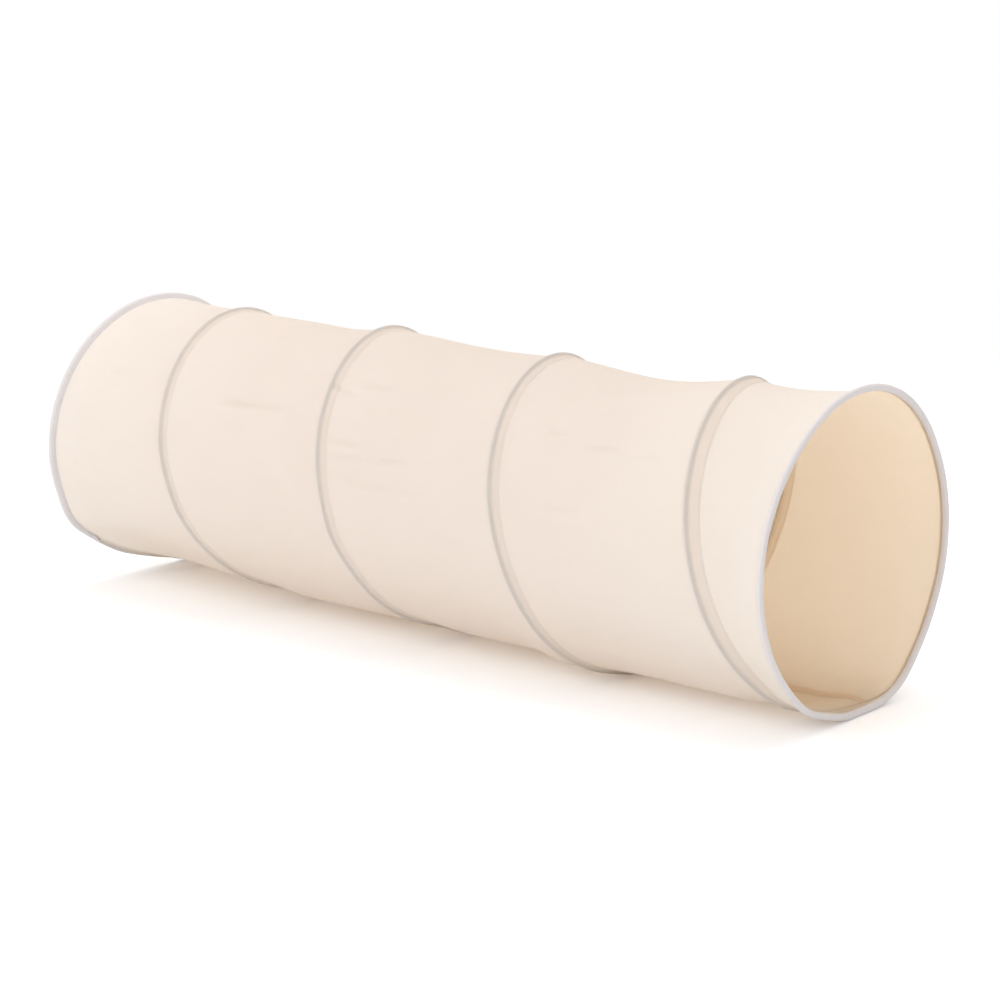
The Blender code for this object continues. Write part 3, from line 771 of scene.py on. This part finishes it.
def soften(piece):
    """Give a piece its own copy of its mesh."""
    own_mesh(piece)


def strip_grid(start, end):
    """The cloth strip from one angle to another: its columns are close together at the seams."""
    phi = row_angles(start, end)[:, None]
    low, high = strip_edges(phi)
    edge = np.minimum(EDGE_BAND, (high - low) / 3)
    x = np.hstack([
        low + edge * np.linspace(0, 1, LOW_COLUMNS)[:-1],
        low + edge + (high - low - 2 * edge) * np.linspace(0, 1, MIDDLE_COLUMNS),
        high - edge + edge * np.linspace(0, 1, HIGH_COLUMNS)[1:],
    ])
    radius, relief = cloth_layer(x, phi)
    return place(x, phi, radius + flare(x), relief)


def make_cloth():
    for node, body, start, end in STRIPS:
        # The strips' inner skin carries the painted warm light of the inside.
        piece = shell(node + "_sheet", strip_grid(start, end), CLOTH_THICKNESS, (cloth_out, inside_cloth_painted_warm_light))
        dress(piece, body, "cloth", node)
        soften(piece)


def flange_reach(phi):
    return between(phi / 360, FLANGE_TURNS, FLANGE_REACHES)


def held_in(x):
    """Keeps what goes under a binding from reaching past its grip."""
    low, high = FAR_FACE + BINDING_HOLD - HELD_PLAY, NEAR_FACE - BINDING_HOLD + HELD_PLAY
    x_low, x_high = low + HELD_SHARE * (x - low), high + HELD_SHARE * (x - high)
    return np.where(x < low, x_low, np.where(x > high, x_high, x))


def casing_across(phi):
    """How far each column of the casing lies from the wire."""
    foot = CASING_CHANNEL[-1][0]
    channel = np.array([spot for spot, rise in CASING_CHANNEL])[None, :] + 0 * phi
    return np.hstack([channel, foot + (flange_reach(phi) - foot) * np.array(FLANGE_SPOT_SHARES)[None, :]])


def casing_points(phi, across, share, thickness=TAPE_THICKNESS):
    """Points of the casing's middle layer at these distances from the wire."""
    x = held_in(coil_x(phi) + across)
    on_own = cloth_layer(x, phi)
    on_last = cloth_layer(x, phi - 360)
    radius = np.where(across > 0, on_own[0], on_last[0])
    relief = np.where(across > 0, on_own[1], on_last[1])
    lying = radius + CLOTH_THICKNESS / 2 + CASING_LIFT + thickness / 2
    over = RIB_RADIUS - TAPE_THICKNESS / 2
    seams = np.exp(-((across - CHANNEL_SEAM) / SEAM_HALF_WIDTH) ** 2)
    seams = seams + np.exp(-((across - flange_reach(phi) + SEAM_FROM_EDGE) / SEAM_HALF_WIDTH) ** 2)
    gathered = CASING_GATHER * swells(CLOTH_RADIUS * np.radians(phi), across, CASING_GATHER_SWELL)
    gathered = gathered * (CHANNEL_GATHER_SHARE + FLANGE_GATHER_SHARE * (1 - share))
    radius = lying + (over - lying) * share
    dip = SEAM_DIP * seams * (1 - share) * np.minimum(1, thickness / TAPE_THICKNESS)
    relief = relief * (1 - share) - dip
    return place(x, phi, radius + flare(x), relief + gathered)


def casing_stitches(phi):
    """The casing's two seams, each with its stitches on the casing and on the cloth inside."""
    rows = []
    for seam in (CHANNEL_SEAM + 0 * phi, flange_reach(phi) - SEAM_FROM_EDGE):
        line = casing_points(phi, seam + np.array([[-SLOPE_STEP, 0.0, SLOPE_STEP]]), 0.0)
        outward = grid_normals(line)[:, 1]
        rows.append((line[:, 1] + outward * (TAPE_THICKNESS / 2 + CASING_THREAD_LIFT), outward))
        inward = TAPE_THICKNESS / 2 + SEWN_DEPTH + CLOTH_THICKNESS + INNER_THREAD_LIFT
        rows.append((line[:, 1] - outward * inward, -outward))
    return rows


def make_casings():
    ends = [COIL_START + CASING_TUCK] + CUTS[1:] + [COIL_END - CASING_TUCK]
    share = np.array([rise for spot, rise in CASING_CHANNEL] + [0.0] * len(FLANGE_SPOT_SHARES))[None, :]
    thickness_shares = [1.0] * len(CASING_CHANNEL) + FLANGE_THICKNESS_SHARES
    thickness = TAPE_THICKNESS * np.array(thickness_shares)[None, :]
    for turn, (start, end) in enumerate(zip(ends, ends[1:]), 1):
        body = f"turn_{turn}"
        phi = row_angles(start, end)[:, None]
        points = casing_points(phi, casing_across(phi), share, thickness)
        piece = shell(f"casing_turn_{turn}_tape", points, thickness, (casing_cloth, casing_cloth))
        dress(piece, body, "casing", f"casing_turn_{turn}")
        soften(piece)
        piece = stitch_rows(f"casing_turn_{turn}_stitches", casing_stitches(phi), cream_thread)
        dress(piece, body, "casing")
        soften(piece)


def seam_tape_points(cut, turned):
    """Points of the tape over the seam at cut, turned this far round from it, and which way is outward."""
    low, high = strip_edges(np.array([cut]))
    low = max(low[0], SOFT_START)
    high = min(high[0], SOFT_END)
    x = np.linspace(low, high, SEAM_TAPE_ROWS)[:, None]
    phi = cut + np.degrees(turned / CLOTH_RADIUS)
    radius, relief = cloth_layer(x, phi)
    points = place(x, phi, radius + flare(x), relief)
    outward = -grid_normals(points)
    return points - outward * SEAM_PLAY, outward


def seam_tape_stitches(cut):
    """The tape's two seams, each with its stitches on the tape and on the cloth outside."""
    rows = []
    for side in (-SEAM_TAPE_STITCH, SEAM_TAPE_STITCH):
        line, outward = seam_tape_points(cut, np.array([[side - SLOPE_STEP, side, side + SLOPE_STEP]]))
        rows.append((line[:, 1] - outward[:, 1] * (TAPE_THICKNESS / 4 + TAPE_THREAD_LIFT), -outward[:, 1]))
        rows.append((line[:, 1] + outward[:, 1] * (SEAM_PLAY + CLOTH_THICKNESS / 2), outward[:, 1]))
    return rows


def make_seam_tapes():
    turned = np.linspace(-0.5, 0.5, SEAM_TAPE_COLUMNS)[None, :] * SEAM_TAPE_WIDTH
    for number, cut in enumerate(CUTS, 1):
        body = f"turn_{number}"
        points, outward = seam_tape_points(cut, turned)
        # The seam tape is in the inside cloth, with its painted warm light.
        piece = shell(f"seam_tape_{number}_cloth", points[::-1], TAPE_THICKNESS / 2, (inside_cloth_painted_warm_light, inside_cloth_painted_warm_light))
        dress(piece, body, "casing", f"seam_tape_{number}")
        soften(piece)
        piece = stitch_rows(f"seam_tape_{number}_stitches", seam_tape_stitches(cut), cream_thread)
        dress(piece, body, "casing")
        soften(piece)


def binding_points(inward, phi, section, leg_columns):
    """Points of a binding's middle layer; its outer leg lifts where the wire and its casing go under it."""
    face, coil_angle = (FAR_FACE, COIL_START) if inward > 0 else (NEAR_FACE, COIL_END)
    past = ((phi - coil_angle + 180) % 360 - 180) * inward
    spot, rise = np.array(section).T[:, None]
    width = spot + 0 * phi
    wire = inward * (coil_x(coil_angle + inward * np.maximum(past, 0)) - face)
    beside = inward * (width - wire)
    beside = np.sign(beside) * np.maximum(np.abs(beside) - CHANNEL_CLEARANCE, 0)
    tip = BINDING_TIP + CASING_LAYER * swept(past, FLANGE_LIFT[inward])
    rise_over_wire = BINDING_TOP - CHANNEL_LIFT_SHORT - tip
    tip = tip + rise_over_wire * np.interp(beside, *zip(*CASING_CHANNEL)) * swept(past, CHANNEL_LIFT)
    radius = BINDING_BASE + (BINDING_TOP - BINDING_BASE) * rise
    column = np.arange(len(section))[None, :]
    bend_start, bend_columns = BINDING_BEND
    in_bend = (width > bend_start) & (column < leg_columns + bend_columns)
    radius = np.where(in_bend, np.maximum(radius, np.minimum(tip, BINDING_TOP)), radius)
    radius = np.where(column < leg_columns, tip, radius)
    arc = RIM_RADIUS * np.radians(phi)
    turned = column / COLUMNS_PER_SWELL
    relief = 0.0
    for height, length, slant, start, seed in (BINDING_PULLS, BINDING_WAVES):
        relief = relief + height * lattice(arc / length + slant * turned, turned + start, seed + inward)
    return place(face + inward * width, phi, radius, np.minimum(relief - BINDING_SETTLE, 0.0))


def binding_stitches(inward):
    """The binding's seams, on its outer leg and inside the tunnel."""
    phi = (np.arange(BINDING_STEPS + 1) * 360 / BINDING_STEPS)[:, None]
    rows = []
    for seam, columns, sign in ((BINDING_SEAM, 3, 1), (INNER_SEAM, 0, -1)):
        line = [(seam + part, 0.0) for part in (BINDING_SLOPE_STEP, 0.0, -BINDING_SLOPE_STEP)]
        line = binding_points(inward, phi, line, columns)
        outward = grid_normals(line)[:, 1] * -inward * sign
        rows.append((line[:, 1] + outward * (BINDING_THICKNESS / 2 + BINDING_THREAD_LIFT), outward))
    return rows


def make_bindings():
    phi = (np.arange(BINDING_STEPS) * 360 / BINDING_STEPS)[:, None]
    section = [(spot, 0.0) for spot in BINDING_OUTER_LEG] + BINDING_FOLD
    for name, inward, body in (("far_rim_binding", 1, "far_end"), ("near_rim_binding", -1, "near_end")):
        points = binding_points(inward, phi, section, len(BINDING_OUTER_LEG))
        if inward > 0:
            points = points[:, ::-1]
        piece = shell(name + "_tape", points, BINDING_THICKNESS, (binding_cloth, binding_cloth), closed=True)
        dress(piece, body, "binding", name)
        piece = stitch_rows(name + "_stitches", binding_stitches(inward), lilac_thread)
        dress(piece, body, "binding")


def wire_run(first, last):
    """The wire from one angle to another, straight where a sleeve grips the hoop beside it."""
    steps = round((last - first) / 360 * WIRE_ROWS_PER_TURN)
    phi = np.linspace(first, last, steps + 1)
    far_hoop_x = FAR_FACE + WIRE_INSET - WIRE_PAIR_PITCH * (COIL_START - phi) / 360
    near_hoop_x = NEAR_FACE - WIRE_INSET + WIRE_PAIR_PITCH * (phi - COIL_END) / 360
    x = np.where(phi < COIL_START, far_hoop_x, coil_x(phi))
    x = np.where(phi > COIL_END, near_hoop_x, x)
    points = place(x, phi, COIL_RADIUS + flare(x))
    for start in (COIL_START - WIRE_ANGLE, COIL_END):
        gripped = (phi >= start) & (phi <= start + WIRE_ANGLE)
        grip = np.array([start, start + WIRE_ANGLE])
        ends = place(np.interp(grip, phi, x), grip, COIL_RADIUS + FLARE)
        part = ((phi - start) / WIRE_ANGLE)[:, None]
        points = np.where(gripped[:, None], ends[0] + (ends[1] - ends[0]) * part, points)
    return points


def with_end(points, face, inward, angle):
    """A hoop with the wire's straight end in front of it."""
    x = face + inward * (WIRE_INSET - WIRE_PAIR_PITCH * (360 + WIRE_ANGLE) / 360)
    ahead = place(x, angle, COIL_RADIUS + FLARE) - points[0]
    return np.vstack([points[0] + unit(ahead) * STRAIGHT_END, points])


def make_wire():
    """The wire's two hoops and its coil; returns the points of the hoops."""
    far_loop = with_end(wire_run(COIL_START - 360, COIL_START), FAR_FACE, 1, COIL_START - 360 - WIRE_ANGLE)
    near_loop = wire_run(COIL_END, COIL_END + 360)[::-1]
    near_loop = with_end(near_loop, NEAR_FACE, -1, COIL_END + 360 + WIRE_ANGLE)
    coil = wire_run(COIL_START, COIL_END)
    for name, points, body in (
            ("spring_wire_far_hoop", far_loop, "far_end"), ("spring_wire_near_hoop", near_loop, "near_end"),
            ("spring_wire_coil", coil, "far_end")):
        piece = tube(name, points, WIRE_RADIUS, WIRE_SIDES, wire_steel)
        dress(piece, body, "wire", "spring_wire")
        if points is coil:
            soften(piece)
    return far_loop, near_loop


def crimped_sleeve(name, joined, free, aside, material):
    """An open sleeve round two wires side by side, pinched where the tool pressed it."""
    along = unit(free - joined)
    across = np.array([aside, 0.0, 0.0])
    across = unit(across - along * (across @ along))
    out = np.cross(across, along)
    arc = np.linspace(-np.pi / 2, np.pi / 2, SLEEVE_ARC_POINTS)
    spots = np.linspace(0, 1, SLEEVE_ROWS)
    pinch = sum(np.exp(-((spots - middle) / PINCH_WIDTH_SHARE) ** 2) for middle in PINCH_PLACE_SHARES)
    layers = []
    for radius, closing in zip(SLEEVE_RADII, SLEEVE_PINCHES):  # outside, then inside
        ring = np.array([
            (side * (WIRE_PAIR_PITCH / 2 + radius * math.cos(turn)), side * radius * math.sin(turn))
            for side in (1, -1) for turn in arc])
        squeeze = (1 - closing * pinch / radius)[:, None]
        middle = joined + across * WIRE_PAIR_PITCH / 2
        spine = middle + along * (SLEEVE_START + spots[:, None] * SLEEVE_LENGTH)
        pinched = (ring[None, :, 1] * squeeze)[..., None]
        layers.append(spine[:, None] + ring[None, :, :1] * across + pinched * out)
    tall, wide = layers[0].shape[:2]
    index = np.arange(tall * wide).reshape(tall, wide)
    beside = np.roll(index, -1, axis=1)
    walls = ring_cells(index)
    faces = walls.tolist() + (walls[:, ::-1] + tall * wide).tolist()
    for row, flip in ((0, 1), (-1, -1)):
        a, b = index[row], beside[row]
        faces += np.stack([a, b, b + tall * wide, a + tall * wide][::flip], axis=-1).tolist()
    piece = mesh_piece(name, layers, faces, material)
    face_out(piece.data)
    piece.data.shade_smooth()
    return piece


def make_ferrules(far_loop, near_loop):
    for name, loop, aside, body in (
            ("far_wire_ferrule", far_loop, 1, "far_end"), ("near_wire_ferrule", near_loop, -1, "near_end")):
        piece = crimped_sleeve(name + "_sleeve", loop[1], loop[0], aside, crimp_steel)
        dress(piece, body, "ferrule", name)


def seen_rays(tree):
    """1 for the rays that show the background itself: to the camera, in gloss and through clear pieces."""
    path = tree.add("LightPath")
    clear = tree.math("SUBTRACT", path.outputs["Is Transmission Ray"], path.outputs["Is Diffuse Ray"])
    seen = tree.math("MAXIMUM", path.outputs["Is Camera Ray"], path.outputs["Is Glossy Ray"])
    return tree.math("MAXIMUM", seen, clear)


def make_floor():
    """A pale floor that takes the tunnel's soft shadow and is pure white further away."""
    corners = FLOOR_HALF_WIDTH * np.array([(-1, -1, 0), (1, -1, 0), (1, 1, 0), (-1, 1, 0)])
    material = bpy.data.materials.new("pale_floor")
    floor = mesh_piece("floor", corners, [(0, 1, 2, 3)], material)
    floor.location.z = -FLOOR_DROP
    tree = Nodes(material)
    seen = seen_rays(tree)
    shader = tree.add("BsdfPrincipled", {
        "Base Color": (*FLOOR_COLOUR, 1.0), "Roughness": 0.9, "Specular IOR Level": 0.0})
    glow = tree.add("Emission", {"Color": (*FLOOR_GLOW, 1), "Strength": seen})
    both = tree.add("AddShader", {0: shader.outputs[0], 1: glow.outputs[0]})
    spot = tree.add("TexCoord").outputs["Object"]
    away = tree.add("VectorMath", {0: spot}, operation="LENGTH").outputs["Value"]
    fade = {"Value": away, "From Min": FLOOR_FADE[0], "From Max": FLOOR_FADE[1]}
    far = tree.add("MapRange", fade).outputs[0]
    white = tree.add("Emission", {"Color": (1, 1, 1, 1), "Strength": 1.0})
    mixed = tree.add("MixShader", {
        0: tree.math("MULTIPLY", seen, far), 1: both.outputs[0], 2: white.outputs[0]})
    tree.add("OutputMaterial", {"Surface": mixed.outputs[0]})


def make_world():
    """Soft light from all round, seen as pure white."""
    world = bpy.data.worlds.new("studio")
    bpy.context.scene.world = world
    tree = Nodes(world)
    seen = seen_rays(tree)
    soft = tree.add("Background", {"Color": (*WORLD_COLOUR, 1.0), "Strength": WORLD_STRENGTH})
    white = tree.add("Background", {"Color": (1, 1, 1, 1), "Strength": 1.0})
    mixed = tree.add("MixShader", {0: seen, 1: soft.outputs[0], 2: white.outputs[0]})
    tree.add("OutputWorld", {"Surface": mixed.outputs[0]})


def make_lamps():
    for name, spot, aim, size, power in LAMPS:
        lamp = bpy.data.lights.new(name, "AREA")
        lamp.size, lamp.energy = size, power
        holder = link(bpy.data.objects.new(name, lamp))
        holder.location = spot
        holder.rotation_euler = (Vector(aim) - Vector(spot)).to_track_quat("-Z", "Y").to_euler()


def make_camera():
    camera = bpy.data.cameras.new("camera")
    camera.sensor_width = SENSOR_WIDTH
    camera.lens = FOCAL_PIXELS * SENSOR_WIDTH / PICTURE_SIZE
    holder = link(bpy.data.objects.new("camera", camera))
    right, up, forward = view_axes()
    turn = Matrix((right, up, -forward)).transposed().to_4x4()
    holder.matrix_world = Matrix.Translation(CAMERA_PLACE) @ turn
    bpy.context.scene.camera = holder
    bpy.context.scene.view_settings.view_transform = "Standard"


make_cloth()
make_casings()
make_seam_tapes()
make_bindings()
make_ferrules(*make_wire())
make_floor()
make_world()
make_lamps()
make_camera()
